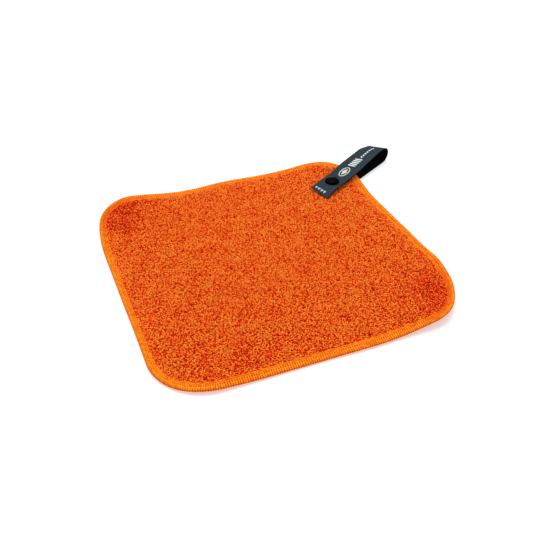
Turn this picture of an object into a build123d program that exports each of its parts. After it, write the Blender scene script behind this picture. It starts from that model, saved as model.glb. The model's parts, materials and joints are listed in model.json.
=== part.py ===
from build123d import *
from math import asin, atan2, cos, degrees, hypot, radians, sin, tan
import os

# Quick dry towel: a square terry cloth with rounded corners and an overlocked edge, and a webbing
# strap sewn under one corner. The strap turns back over the corner in an open loop and is held
# there by a ring-spring snap, with a short pull tab past the snap.
#
# Frame, in millimetres: the origin is the centre of the towel's underside, +Z is up, and X and Y
# run along the towel's edges. The strap leaves the corner at +X +Y.
# Strap frame: s runs out along the strap, n across it, and Z is shared with the towel.

# ---- towel ----
TOWEL_SIDE = 254.0
CORNER_R = 44.0
BACK_PILE = 2.0
GROUND = 1.0
FACE_PILE = 1.6
PRESSED_PILE = 0.4          # pile squeezed flat under a sewn or riveted piece
BAND_W = 7.0                # width of the overlocked edge
LOOPER_T = 0.4              # thickness of a looper thread's cover
LIP_T = 0.5                 # looper thread that wraps the cut edge
NEEDLE_THREAD = 0.5
GAP = 0.1                   # small clearance between neighbours that aren't joined

Z_GROUND = BACK_PILE
Z_FACE = BACK_PILE + GROUND
Z_TOP = Z_FACE + FACE_PILE
Z_PRESSED = Z_FACE + PRESSED_PILE

# ---- strap ----
STRAP_ANGLE = 28.5          # direction of s, from +X towards +Y, degrees
STRAP_OFFSET = 21.4         # distance of the strap's centre line from the origin
STRAP_W = 21.0
STRAP_T = 1.2
STRAP_LOW = 0.4             # underside of the sewn end and the lower leg
LOOP_R = 7.7                # bend of the loop, to the middle of the webbing
LOOP_S = 197.7              # centre of the bend
SEWN_START = 104.0
EDGE_HINGE_S = 158.0        # the strap flexes here, just outside the towel's edge
SNAP_S = 122.0
KNEE_S = 132.5              # the upper leg starts to rise here
KNEE_R = 40.0
TAB_HINGE_S = 113.8
TAB_END_S = 103.2
TAB_DROOP = 15.3            # degrees
BEND_FLEX = 45.0            # the two flexing lines of the bend lie this far either side of its tip
HINGE_GAP = 0.75            # from a flexing line back to the webbing behind it
SNAP_STRAP_TOP = 9.6        # top of the webbing at the snap

Z_LEG = STRAP_LOW + STRAP_T / 2
Z_SNAP_LEG = SNAP_STRAP_TOP - STRAP_T / 2
LOOP_Z = Z_LEG + LOOP_R

# ---- snap ----
BARREL_R = 1.6
BARREL_BORE_R = 1.2
POST_FLANGE_R = 5.0
STUD_FLANGE_R = 4.8
STUD_NECK_R = 2.35
STUD_HEAD_R = 2.75
STUD_H = 4.0
SOCKET_PLATE_R = 5.9
SOCKET_BODY_R = 5.2
SOCKET_BORE_R = 3.05
SOCKET_BOTTOM = 4.5
SPRING_R = 2.9              # to the middle of the wire
SPRING_WIRE_R = 0.34
SPRING_GROOVE_R = 3.45
SPRING_GROOVE_H = 0.9
SPRING_Z = 5.6
SPRING_SPLIT = 40.0         # opening of the split ring, degrees
CAP_R = 6.8
CAP_H = 3.8
CAP_CROWN = 2.0             # rise of the crown above the shoulder
CAP_SHOULDER = 1.6
CAP_SHELL = 0.5
SHEET = 0.4                 # sheet thickness of the pressed snap parts

# ---- stitching and print ----
TACK_L = 16.0
TACK_W = 2.0
TACK_S = (109.0, 139.0)
TACK_DROP = 0.3             # thread standing below the sewn end
TACK_RISE = 0.2             # thread standing above the pressed pile
INK_T = 0.12


def strap_place(shape):
    """Moves a shape from the strap frame into the towel's frame."""
    turn = radians(STRAP_ANGLE)
    corner = (-STRAP_OFFSET * sin(turn), STRAP_OFFSET * cos(turn), 0)
    return Location(corner, (0, 0, STRAP_ANGLE)) * shape


# ---------------------------------------------------------------- towel

def towel_outline(inset):
    """Rounded square of the towel, drawn in from its edge."""
    return RectangleRounded(TOWEL_SIDE - 2 * inset, TOWEL_SIDE - 2 * inset, CORNER_R - inset)


def slab(inset, z_low, z_high):
    return Pos(0, 0, z_low) * extrude(towel_outline(inset), amount=z_high - z_low)


def frame_ring(outer_inset, inner_inset, z_low, z_high):
    ring = towel_outline(outer_inset) - towel_outline(inner_inset)
    return Pos(0, 0, z_low) * extrude(ring, amount=z_high - z_low)


def strap_block(s_low, s_high, width, z_low, z_high):
    """Upright box on the strap's centre line."""
    box = Box(s_high - s_low, width, z_high - z_low)
    return strap_place(Pos((s_low + s_high) / 2, 0, (z_low + z_high) / 2) * box)


def snap_disc(radius, z_low, z_high):
    """Upright disc on the snap's axis."""
    disc = Cylinder(radius, z_high - z_low)
    return strap_place(Pos(SNAP_S, 0, (z_low + z_high) / 2) * disc)


def barrel_hole():
    return snap_disc(BARREL_R, -1, Z_TOP + 1)


def tack_solid(s_middle):
    return strap_block(s_middle - TACK_W / 2, s_middle + TACK_W / 2, TACK_L,
                       STRAP_LOW - TACK_DROP, Z_PRESSED + TACK_RISE)


def all_tacks():
    return tack_solid(TACK_S[0]) + tack_solid(TACK_S[1])


def ground_cloth():
    return slab(LIP_T, Z_GROUND, Z_FACE) - barrel_hole() - all_tacks()


def face_pile():
    cloth = slab(BAND_W + 3 * GAP + NEEDLE_THREAD, Z_FACE, Z_TOP)
    cloth -= barrel_hole()
    cloth -= snap_disc(STUD_FLANGE_R + 4 * GAP, Z_PRESSED, Z_TOP + 1)
    for s_middle in TACK_S:
        half = TACK_W / 2 + 4 * GAP
        cloth -= strap_block(s_middle - half, s_middle + half, TACK_L + 8 * GAP,
                             Z_PRESSED, Z_TOP + 1)
    return cloth - all_tacks()


def back_pile():
    cloth = slab(BAND_W + 2 * GAP, 0, Z_GROUND)
    pocket_top = STRAP_LOW + STRAP_T
    cloth -= strap_block(SEWN_START - 4 * GAP, EDGE_HINGE_S, STRAP_W + 8 * GAP, -1, pocket_top)
    return cloth - barrel_hole() - all_tacks()


def edge_upper_looper():
    """Thread cover of the band's upper face, and the upper half of the wrap round the cut edge."""
    cover = frame_ring(0, BAND_W, Z_FACE, Z_FACE + LOOPER_T)
    wrap = frame_ring(0, LIP_T, Z_GROUND + GROUND / 2, Z_FACE)
    return cover + wrap


def edge_lower_looper():
    """Thread cover of the band's lower face, and the lower half of the wrap round the cut edge."""
    cover = frame_ring(0, BAND_W, Z_GROUND - LOOPER_T, Z_GROUND)
    wrap = frame_ring(0, LIP_T, Z_GROUND, Z_GROUND + GROUND / 2)
    return cover + wrap


def edge_needle_thread():
    inner = BAND_W + GAP + NEEDLE_THREAD
    return frame_ring(BAND_W + GAP, inner, Z_FACE, Z_FACE + NEEDLE_THREAD)


# ---------------------------------------------------------------- strap

def ribbon(path):
    """Webbing swept along a path drawn in the plane of s and Z, given with s as x and Z as y."""
    path = Plane.XZ * path
    section = Plane(origin=path @ 0, x_dir=(0, 1, 0), z_dir=path % 0) * Rectangle(STRAP_W, STRAP_T)
    return sweep(section, path=path)


def rounded_end(s, z):
    """Half-round end of the webbing, about the line that it flexes on."""
    return Pos(s, 0, z) * Rot(90, 0, 0) * Cylinder(STRAP_T / 2, STRAP_W)


def loop_point(angle):
    """Point of the bend's middle line, from its angle about the bend's centre."""
    return (LOOP_S + LOOP_R * cos(radians(angle)), LOOP_Z + LOOP_R * sin(radians(angle)))


def loop_arc(start, end):
    return CenterArc((LOOP_S, LOOP_Z), LOOP_R, start, end - start)


def loop_rise():
    """Slope of the upper leg, in degrees: the line from the knee that just touches the bend."""
    run = LOOP_S - KNEE_S
    lift = LOOP_Z - Z_SNAP_LEG
    return degrees(atan2(lift, run) + asin(LOOP_R / hypot(run, lift)))


GAP_ANGLE = degrees(HINGE_GAP / LOOP_R)


def strap_sewn_end():
    end = strap_block(SEWN_START, EDGE_HINGE_S - HINGE_GAP, STRAP_W, STRAP_LOW, STRAP_LOW + STRAP_T)
    return end - barrel_hole() - all_tacks()


def strap_lower_leg():
    run = Line((EDGE_HINGE_S, Z_LEG), (LOOP_S, Z_LEG))
    path = Wire([run, loop_arc(-90, -BEND_FLEX - GAP_ANGLE)])
    return strap_place(ribbon(path) + rounded_end(EDGE_HINGE_S, Z_LEG))


def strap_bend():
    path = loop_arc(-BEND_FLEX, BEND_FLEX - GAP_ANGLE)
    return strap_place(ribbon(path) + rounded_end(*loop_point(-BEND_FLEX)))


def strap_upper_leg():
    rise = loop_rise()
    touch = loop_point(90 + rise)
    back = TAB_HINGE_S + HINGE_GAP
    run = FilletPolyline(touch, (KNEE_S, Z_SNAP_LEG), (back, Z_SNAP_LEG), radius=KNEE_R)
    path = Wire([loop_arc(BEND_FLEX, 90 + rise)] + list(run.edges()))
    leg = ribbon(path) + rounded_end(*loop_point(BEND_FLEX))
    hole = Pos(SNAP_S, 0, Z_SNAP_LEG) * Cylinder(BARREL_R, 3 * STRAP_T)
    return strap_place(leg - hole)


def pull_tab():
    drop = (TAB_HINGE_S - TAB_END_S) * tan(radians(TAB_DROOP))
    path = Line((TAB_HINGE_S, Z_SNAP_LEG), (TAB_END_S, Z_SNAP_LEG - drop))
    return strap_place(ribbon(path) + rounded_end(TAB_HINGE_S, Z_SNAP_LEG))


# ---------------------------------------------------------------- stitching and print

def bar_tack_inner():
    return tack_solid(TACK_S[0])


def bar_tack_outer():
    return tack_solid(TACK_S[1])


def upper_leg_surface(s, n=0.0):
    """Plane on top of the sloping part of the upper leg, x along s and y along n."""
    rise = radians(loop_rise())
    top = Z_SNAP_LEG + (s - KNEE_S) * tan(rise) + STRAP_T / 2 / cos(rise)
    return Plane(origin=(s, n, top), x_dir=(cos(rise), 0, sin(rise)), z_dir=(-sin(rise), 0, cos(rise)))


def tab_surface(s, n=0.0):
    """Plane on top of the drooping pull tab, x along s and y along n."""
    droop = radians(TAB_DROOP)
    top = Z_SNAP_LEG - (TAB_HINGE_S - s) * tan(droop) + STRAP_T / 2 / cos(droop)
    return Plane(origin=(s, n, top), x_dir=(cos(droop), 0, sin(droop)), z_dir=(-sin(droop), 0, cos(droop)))


BADGE_S = 145.5
BADGE_LONG = 16.0
BADGE_WIDE = 8.0
BAR_COUNT = 5
BAR_FIRST_S = 157.0
BAR_PITCH = 3.0
BAR_L = 7.0
BAR_W = 1.5
BAR_SLANT = 20.0
DASH_COUNT = 7
DASH_FIRST_S = 173.0
DASH_PITCH = 3.0
DASH_L = 1.9
DASH_W = 1.6
TAB_MARK_S = 107.0
TAB_MARK_COUNT = 4
TAB_MARK_PITCH = 3.4
TAB_MARK_SIDE = 2.2


def printed_badge():
    """Plain oval ring with a lozenge in it, printed on the upper leg."""
    oval = Ellipse(BADGE_LONG / 2, BADGE_WIDE / 2) - Ellipse(BADGE_LONG / 2 - 0.8, BADGE_WIDE / 2 - 0.8)
    half_long = BADGE_LONG / 2 - 3
    half_wide = BADGE_WIDE / 2 - 2
    lozenge = make_face(Polyline((half_long, 0), (0, half_wide), (-half_long, 0), (0, -half_wide),
                                 close=True))
    return strap_place(upper_leg_surface(BADGE_S) * extrude(oval + lozenge, amount=INK_T))


def printed_bars():
    """Slanted bars and a row of dashes, printed on the upper leg."""
    marks = []
    for i in range(BAR_COUNT):
        bar = Rot(0, 0, BAR_SLANT) * Rectangle(BAR_W, BAR_L)
        marks.append(upper_leg_surface(BAR_FIRST_S + i * BAR_PITCH) * extrude(bar, amount=INK_T))
    for i in range(DASH_COUNT):
        dash = Rectangle(DASH_L, DASH_W)
        marks.append(upper_leg_surface(DASH_FIRST_S + i * DASH_PITCH) * extrude(dash, amount=INK_T))
    return strap_place(Compound(children=marks))


def printed_tab_arrows():
    """Row of small triangles across the pull tab, pointing the way it is pulled."""
    marks = []
    for i in range(TAB_MARK_COUNT):
        across = (i - (TAB_MARK_COUNT - 1) / 2) * TAB_MARK_PITCH
        half = TAB_MARK_SIDE / 2
        arrow = make_face(Polyline((half, -half), (half, half), (-half, 0), close=True))
        marks.append(tab_surface(TAB_MARK_S, across) * extrude(arrow, amount=INK_T))
    return strap_place(Compound(children=marks))


# ---------------------------------------------------------------- snap

def turned(points):
    """Solid of revolution about the snap's axis, from a closed outline of radius and height."""
    outline = Plane.XZ * make_face(Polyline(*points, close=True))
    return strap_place(Pos(SNAP_S, 0, 0) * revolve(outline, axis=Axis.Z))


def snap_post():
    """Flanged rivet under the sewn end. Its barrel runs up through the cloth into the stud."""
    barrel_top = Z_PRESSED + 0.6 * STUD_H
    flange_top = STRAP_LOW
    return turned([(BARREL_BORE_R, 0), (POST_FLANGE_R - SHEET, 0), (POST_FLANGE_R, SHEET / 2),
                   (POST_FLANGE_R, flange_top), (BARREL_R, flange_top), (BARREL_R, barrel_top),
                   (BARREL_BORE_R, barrel_top)])


def snap_stud():
    """Pressed stud on the face of the cloth, closed at the top and hollow for the post's barrel."""
    base = Z_PRESSED
    top = base + STUD_H
    neck_top = top - 1.5
    head_middle = top - 0.9
    return turned([(BARREL_R, base), (STUD_FLANGE_R, base), (STUD_FLANGE_R, base + SHEET),
                   (STUD_NECK_R, base + SHEET), (STUD_NECK_R, neck_top),
                   (STUD_HEAD_R, head_middle), (STUD_HEAD_R - 0.1, top - 0.4),
                   (STUD_HEAD_R - 0.7, top), (0, top), (0, top - SHEET),
                   (BARREL_R, top - SHEET)])


def snap_socket():
    """Socket under the upper leg, with a bore for the stud and a groove for the ring spring."""
    plate_top = SNAP_STRAP_TOP - STRAP_T
    plate_low = plate_top - SHEET
    groove_low = SPRING_Z - SPRING_GROOVE_H / 2
    groove_high = SPRING_Z + SPRING_GROOVE_H / 2
    return turned([(BARREL_R, plate_low), (SOCKET_BORE_R, plate_low), (SOCKET_BORE_R, groove_high),
                   (SPRING_GROOVE_R, groove_high), (SPRING_GROOVE_R, groove_low),
                   (SOCKET_BORE_R, groove_low), (SOCKET_BORE_R, SOCKET_BOTTOM),
                   (SOCKET_BODY_R - SHEET, SOCKET_BOTTOM), (SOCKET_BODY_R, SOCKET_BOTTOM + SHEET),
                   (SOCKET_BODY_R, plate_low), (SOCKET_PLATE_R, plate_low),
                   (SOCKET_PLATE_R, plate_top), (BARREL_R, plate_top)])


def snap_ring_spring():
    """Split ring of spring wire in the socket's groove. It grips the stud's neck."""
    wire = CenterArc((0, 0, SPRING_Z), SPRING_R, SPRING_SPLIT / 2, 360 - SPRING_SPLIT)
    section = Plane(origin=wire @ 0, z_dir=wire % 0) * Circle(SPRING_WIRE_R)
    return strap_place(Pos(SNAP_S, 0, 0) * sweep(section, path=wire))


def snap_cap_barrel():
    """Base of the cap: a disc on the webbing, with a barrel through it clinched in the socket."""
    plate_low = SNAP_STRAP_TOP - STRAP_T - SHEET
    clinch_r = BARREL_R + 0.6
    clinch_t = 0.2
    disc_r = CAP_R - CAP_SHELL
    disc_top = SNAP_STRAP_TOP + SHEET
    return turned([(BARREL_BORE_R, plate_low - clinch_t), (clinch_r, plate_low - clinch_t),
                   (clinch_r, plate_low), (BARREL_R, plate_low), (BARREL_R, SNAP_STRAP_TOP),
                   (disc_r, SNAP_STRAP_TOP), (disc_r, disc_top), (BARREL_BORE_R, disc_top)])


def dome_outline(radius, top, shoulder):
    """Half of a dome's section: a shallow crown, a rounded shoulder and an upright rim."""
    crown_r = (radius ** 2 + CAP_CROWN ** 2) / (2 * CAP_CROWN)
    height = top - SNAP_STRAP_TOP
    block = Pos(radius / 2, SNAP_STRAP_TOP + height / 2) * Rectangle(radius, height)
    outline = block & (Pos(0, top - crown_r) * Circle(crown_r))
    edge = outline.vertices().sort_by(lambda corner: corner.X + corner.Y)[-1]
    return fillet(edge, shoulder)


def snap_cap():
    """Domed outer shell of the snap, open below."""
    top = SNAP_STRAP_TOP + CAP_H
    shell = dome_outline(CAP_R, top, CAP_SHOULDER)
    shell -= dome_outline(CAP_R - CAP_SHELL, top - CAP_SHELL, CAP_SHOULDER - CAP_SHELL)
    return strap_place(Pos(SNAP_S, 0, 0) * revolve(Plane.XZ * shell, axis=Axis.Z))


# ---------------------------------------------------------------- output

NODES = [ground_cloth, face_pile, back_pile,
         edge_upper_looper, edge_lower_looper, edge_needle_thread,
         strap_sewn_end, strap_lower_leg, strap_bend, strap_upper_leg, pull_tab,
         bar_tack_inner, bar_tack_outer,
         printed_badge, printed_bars, printed_tab_arrows,
         snap_cap, snap_cap_barrel, snap_socket, snap_ring_spring, snap_stud, snap_post]


def main():
    os.makedirs("parts", exist_ok=True)
    for make in NODES:
        export_step(make(), "parts/" + make.__name__ + ".step")


main()
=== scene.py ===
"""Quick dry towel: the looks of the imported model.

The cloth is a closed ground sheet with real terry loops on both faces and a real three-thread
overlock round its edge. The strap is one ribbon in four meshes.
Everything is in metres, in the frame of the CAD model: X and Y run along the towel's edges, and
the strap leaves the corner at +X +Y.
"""
import json
from math import atan2, asin, ceil, cos, hypot, pi, radians, sin, sqrt

import bpy
import numpy as np
from mathutils import Matrix, Vector


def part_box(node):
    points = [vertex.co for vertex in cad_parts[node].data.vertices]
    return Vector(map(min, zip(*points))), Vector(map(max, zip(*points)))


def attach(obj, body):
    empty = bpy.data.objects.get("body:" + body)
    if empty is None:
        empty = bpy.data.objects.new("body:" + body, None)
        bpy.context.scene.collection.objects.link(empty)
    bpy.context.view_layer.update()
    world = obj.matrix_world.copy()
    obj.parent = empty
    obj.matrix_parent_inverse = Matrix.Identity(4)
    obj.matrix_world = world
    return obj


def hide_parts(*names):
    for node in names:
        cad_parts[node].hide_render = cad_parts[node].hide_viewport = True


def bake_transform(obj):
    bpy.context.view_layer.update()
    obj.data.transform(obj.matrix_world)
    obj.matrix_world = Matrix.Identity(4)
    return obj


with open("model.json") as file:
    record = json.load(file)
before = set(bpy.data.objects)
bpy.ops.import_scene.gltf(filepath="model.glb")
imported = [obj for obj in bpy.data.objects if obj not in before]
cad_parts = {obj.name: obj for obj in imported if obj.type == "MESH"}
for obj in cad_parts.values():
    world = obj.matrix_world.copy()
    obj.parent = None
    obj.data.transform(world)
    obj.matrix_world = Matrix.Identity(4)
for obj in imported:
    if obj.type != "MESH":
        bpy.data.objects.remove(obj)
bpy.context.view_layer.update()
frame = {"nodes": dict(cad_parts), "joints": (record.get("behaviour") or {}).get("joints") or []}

MM = 0.001

# ---------------------------------------------------------------- sizes from the frame

JOINTS = {joint["name"]: joint for joint in frame["joints"]}


def joint_at(name):
    return Vector(JOINTS[name]["pos_m"])


ACROSS = Vector(JOINTS["strap_open"]["axis"])           # across the strap
ALONG = Vector((ACROSS.y, -ACROSS.x, 0))                # out along the strap
EDGE_S = joint_at("strap_lift").dot(ALONG)
STRAP_N = joint_at("strap_lift").dot(ACROSS)
LEG_Z = joint_at("strap_lift").z
LOW_FLEX = joint_at("strap_open")
HIGH_FLEX = joint_at("strap_unroll")
LOOP_Z = (LOW_FLEX.z + HIGH_FLEX.z) / 2
LOOP_R = LOOP_Z - LEG_Z
LOOP_S = LOW_FLEX.dot(ALONG) - sqrt(LOOP_R ** 2 - (LOOP_Z - LOW_FLEX.z) ** 2)
TAB_S = joint_at("pull_tab_flex").dot(ALONG)
SNAP_Z = joint_at("pull_tab_flex").z

BAND_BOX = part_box("edge_upper_looper")
HALF = BAND_BOX[1][0]                                   # half of the towel's side
Z_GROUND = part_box("ground_cloth")[0][2]
Z_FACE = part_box("ground_cloth")[1][2]
CAP_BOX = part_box("snap_cap")
SNAP_XY = Vector(((CAP_BOX[0][0] + CAP_BOX[1][0]) / 2, (CAP_BOX[0][1] + CAP_BOX[1][1]) / 2, 0))
SNAP_S = SNAP_XY.dot(ALONG)
CORNER_R = 44 * MM
BAND_W = 7 * MM
STRAP_W = 21 * MM
STRAP_T = 1.2 * MM

# ---------------------------------------------------------------- camera

CAMERA_AT = Vector((-180.6, -443.3, 367.1)) * MM
CAMERA_PITCH = 38.13         # degrees below the horizon
CAMERA_TURN = -21.98         # degrees from +Y
CAMERA_ROLL = -0.13
CAMERA_LENS = 48.37          # mm, on a 36 mm sensor


def make_camera():
    data = bpy.data.cameras.new("camera")
    data.lens = CAMERA_LENS
    data.sensor_width = 36
    camera = bpy.data.objects.new("camera", data)
    bpy.context.scene.collection.objects.link(camera)
    turn = Matrix.Rotation(radians(CAMERA_TURN), 4, "Z")
    pitch = Matrix.Rotation(radians(90 - CAMERA_PITCH), 4, "X")
    roll = Matrix.Rotation(radians(CAMERA_ROLL), 4, "Z")
    camera.matrix_world = Matrix.Translation(CAMERA_AT) @ turn @ pitch @ roll
    bpy.context.scene.camera = camera


make_camera()

# ---------------------------------------------------------------- mesh helpers


def add_mesh(name, points, quads, uv=None, material=None, attributes=None):
    """Smooth mesh of quads from arrays of points and corner numbers."""
    mesh = bpy.data.meshes.new(name)
    points = np.asarray(points, np.float32).reshape(-1, 3)
    quads = np.asarray(quads, np.int32).reshape(-1, 4)
    mesh.vertices.add(len(points))
    mesh.vertices.foreach_set("co", points.ravel())
    mesh.loops.add(quads.size)
    mesh.loops.foreach_set("vertex_index", quads.ravel())
    mesh.polygons.add(len(quads))
    mesh.polygons.foreach_set("loop_start", np.arange(0, quads.size, 4, dtype=np.int32))
    mesh.update(calc_edges=True)
    mesh.polygons.foreach_set("use_smooth", np.ones(len(quads), bool))
    if uv is not None:
        layer = mesh.uv_layers.new(name="UVMap")
        layer.data.foreach_set("uv", np.asarray(uv, np.float32)[quads.ravel()].ravel())
    for key, values in (attributes or {}).items():
        data = mesh.attributes.new(key, "FLOAT", "POINT")
        data.data.foreach_set("value", np.asarray(values, np.float32).ravel())
    if material:
        mesh.materials.append(material)
    obj = bpy.data.objects.new(name, mesh)
    bpy.context.scene.collection.objects.link(obj)
    return obj


def tubes(paths, wide, high, normals, sides, closed=False):
    """Tubes along many paths of equal length: paths and normals are (count, points, 3).

    wide is the half width across the normal and high the half height along it. Closed paths join
    end to start. Open ones are capped. sides is even.
    """
    count, steps, _ = paths.shape
    if closed:
        tangent = np.roll(paths, -1, axis=1) - np.roll(paths, 1, axis=1)
    else:
        tangent = np.gradient(paths, axis=1)
    tangent /= np.linalg.norm(tangent, axis=2, keepdims=True) + 1e-12
    side = np.cross(tangent, normals)
    side /= np.linalg.norm(side, axis=2, keepdims=True) + 1e-12
    up = np.cross(side, tangent)
    angle = np.arange(sides) * 2 * pi / sides + pi / sides
    wide = np.broadcast_to(np.asarray(wide, float), (count, steps))[:, :, None, None]
    high = np.broadcast_to(np.asarray(high, float), (count, steps))[:, :, None, None]
    ring = (side[:, :, None, :] * np.cos(angle)[None, None, :, None] * wide
            + up[:, :, None, :] * np.sin(angle)[None, None, :, None] * high)
    points = paths[:, :, None, :] + ring
    number = np.arange(count * steps * sides).reshape(count, steps, sides)
    a = number if closed else number[:, :-1]
    b = np.roll(number, -1, axis=1) if closed else number[:, 1:]
    quads = [np.stack([a, b, np.roll(b, -1, axis=2), np.roll(a, -1, axis=2)], axis=-1).reshape(-1, 4)]
    if not closed:
        for step, order in ((0, 1), (steps - 1, -1)):
            for k in range(sides // 2 - 1):
                corners = [k, k + 1, sides - 2 - k, sides - 1 - k][::order]
                quads.append(number[:, step][:, corners])
    return points.reshape(-1, 3), np.concatenate(quads)


def smoothstep(value):
    value = np.clip(value, 0, 1)
    return value * value * (3 - 2 * value)


def waves(x, y, wavelength, seed, count=14):
    """Smooth seeded random field, about -1 to 1, from crossed sine waves."""
    rng = np.random.default_rng(seed)
    field = np.zeros_like(x)
    for _ in range(count):
        heading = rng.uniform(0, 2 * pi)
        length = wavelength * rng.uniform(0.7, 1.5)
        phase = rng.uniform(0, 2 * pi)
        field += np.sin((x * cos(heading) + y * sin(heading)) * 2 * pi / length + phase)
    return field / sqrt(count)


# ---------------------------------------------------------------- lie of the cloth

DROOP = 0.5 * MM             # the thin edge sinks towards the table from the height of the pile
DROOP_REACH = 14 * MM
FLOOR_GAP = 0.05 * MM

# Where the cloth is lifted off the table, or its edge is pushed in or out from the even outline:
# (x, y, spread, lift, push), in millimetres. A push is outward when it is above 0.
SWELLS = (
    (106, -121, 26, 7.6, 0),         # near right corner curls up
    (120, -106, 20, 0, -6.4),        # and is rounder
    (32, -127, 20, 0, 1.2),
    (127, -60, 15, 2.4, 1.4),
    (127, -14, 18, 2.0, 0),
    (127, 84, 14, 1.4, 1.2),         # over the strap
    (112, 117, 20, 3.8, 0.6),
    (50, 127, 28, 0, -1.6),          # far edge
    (-30, 127, 20, -0.4, -1.0),
    (-97, 125, 26, 6.2, 0),          # far left corner curls up
    (-126, 92, 13, 0, -2.6),
    (-127, -50, 24, 0, -0.4),
    (-92, -126, 16, 1.2, -0.4),      # near left corner
)
RIPPLE = 0.35 * MM


def edge_distance(x, y):
    """Distance in from the even outline."""
    qx = np.abs(x) - (HALF - CORNER_R)
    qy = np.abs(y) - (HALF - CORNER_R)
    outside = np.hypot(np.maximum(qx, 0), np.maximum(qy, 0))
    inside = np.minimum(np.maximum(qx, qy), 0)
    return CORNER_R - outside - inside


def outward(x, y):
    """Direction out from the middle of a rounded square of points near its edge."""
    core = HALF - CORNER_R
    dx = x - np.clip(x, -core, core)
    dy = y - np.clip(y, -core, core)
    size = np.hypot(dx, dy) + 1e-9
    return dx / size, dy / size


def lay(points):
    """Moves points of the flat cloth to where the cloth lies."""
    points = np.array(points, float)
    x, y = points[:, 0].copy(), points[:, 1].copy()
    calm = 1 - np.exp(-((x - SNAP_XY.x) ** 2 + (y - SNAP_XY.y) ** 2) / (2 * (14 * MM) ** 2))
    lift = RIPPLE * waves(x, y, 70 * MM, 5) * calm
    for cx, cy, spread, up, push in SWELLS:
        cx, cy, spread = cx * MM, cy * MM, spread * MM
        bell = np.exp(-((x - cx) ** 2 + (y - cy) ** 2) / (2 * spread ** 2))
        nx, ny = outward(cx, cy)
        lift += up * MM * bell * calm
        points[:, 0] += nx * push * MM * bell
        points[:, 1] += ny * push * MM * bell
    lift -= DROOP * (1 - smoothstep(edge_distance(x, y) / DROOP_REACH))
    points[:, 2] = np.maximum(points[:, 2] + lift, FLOOR_GAP)
    return points


def outline(share, inset):
    """Points and outward directions of the towel's outline, drawn in by an inset.

    share is how far round the outer edge each point is, from 0 to 1, and starts anew past 1.
    inset is one value or an array with one for each point.
    """
    core = HALF - CORNER_R
    straight = 2 * core
    arc = CORNER_R * pi / 2
    side, rest = np.divmod((share % 1.0) * 4 * (straight + arc), straight + arc)
    on_arc = rest > straight
    heading = side * pi / 2 + np.where(on_arc, (rest - straight) / CORNER_R, 0)
    nx, ny = np.cos(heading), np.sin(heading)
    run = np.where(on_arc, core, rest - core)
    base_x = core * np.cos(side * pi / 2) - run * np.sin(side * pi / 2)
    base_y = core * np.sin(side * pi / 2) + run * np.cos(side * pi / 2)
    radius = CORNER_R - inset
    return base_x + nx * radius, base_y + ny * radius, nx, ny


PERIMETER = 8 * (HALF - CORNER_R) + 2 * pi * CORNER_R


def cloth_uv(points):
    """UV that spreads the cloth's square over the unit square."""
    return (points[:, :2] + HALF) / (2 * HALF)


def box_uv(points):
    """UV that fits a small piece's own box to the unit square."""
    low, high = points.min(0), points.max(0)
    return (points[:, :2] - low[:2]) / (high[:2] - low[:2])


# ---------------------------------------------------------------- materials


def new_material(name, roughness=0.8, metallic=0.0, **sockets):
    """Material with its tree and shader. sockets are shader sockets, spaces as underscores."""
    material = bpy.data.materials.new(name)
    material.use_nodes = True
    shader = material.node_tree.nodes["Principled BSDF"]
    shader.inputs["Roughness"].default_value = roughness
    shader.inputs["Metallic"].default_value = metallic
    for key, value in sockets.items():
        shader.inputs[key.replace("_", " ")].default_value = value
    return material, material.node_tree, shader


def ramp(tree, source, stops):
    """Colour ramp fed by a socket, from (place, colour) stops."""
    node = tree.nodes.new("ShaderNodeValToRGB")
    node.color_ramp.elements.remove(node.color_ramp.elements[1])
    for i, (place, colour) in enumerate(stops):
        if i == 0:
            element = node.color_ramp.elements[0]
            element.position = place
        else:
            element = node.color_ramp.elements.new(place)
        element.color = (*colour, 1)
    tree.links.new(source, node.inputs["Fac"])
    return node.outputs["Color"]


def noise(tree, scale, detail=3.0, roughness=0.5, coordinates="Object", stretch=None):
    """Noise value at a scale in cycles for each metre, or for each unit of UV."""
    where = tree.nodes.new("ShaderNodeTexCoord")
    texture = tree.nodes.new("ShaderNodeTexNoise")
    texture.inputs["Scale"].default_value = scale
    texture.inputs["Detail"].default_value = detail
    texture.inputs["Roughness"].default_value = roughness
    source = where.outputs[coordinates]
    if stretch:
        mapping = tree.nodes.new("ShaderNodeMapping")
        mapping.inputs["Scale"].default_value = stretch
        tree.links.new(source, mapping.inputs["Vector"])
        source = mapping.outputs["Vector"]
    tree.links.new(source, texture.inputs["Vector"])
    return texture.outputs["Fac"]


def maths(tree, operation, *values):
    """Math node on sockets or numbers."""
    node = tree.nodes.new("ShaderNodeMath")
    node.operation = operation
    for socket, value in zip(node.inputs, values):
        if isinstance(value, (int, float)):
            socket.default_value = value
        else:
            tree.links.new(value, socket)
    return node.outputs[0]


def attribute(tree, name):
    """A value that the mesh holds at each of its points."""
    node = tree.nodes.new("ShaderNodeAttribute")
    node.attribute_name = name
    return node.outputs["Fac"]


def bump(tree, shader, height, distance, strength=1.0):
    """Fine relief of a surface, from a height socket."""
    node = tree.nodes.new("ShaderNodeBump")
    node.inputs["Distance"].default_value = distance
    node.inputs["Strength"].default_value = strength
    tree.links.new(height, node.inputs["Height"])
    tree.links.new(node.outputs["Normal"], shader.inputs["Normal"])


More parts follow.
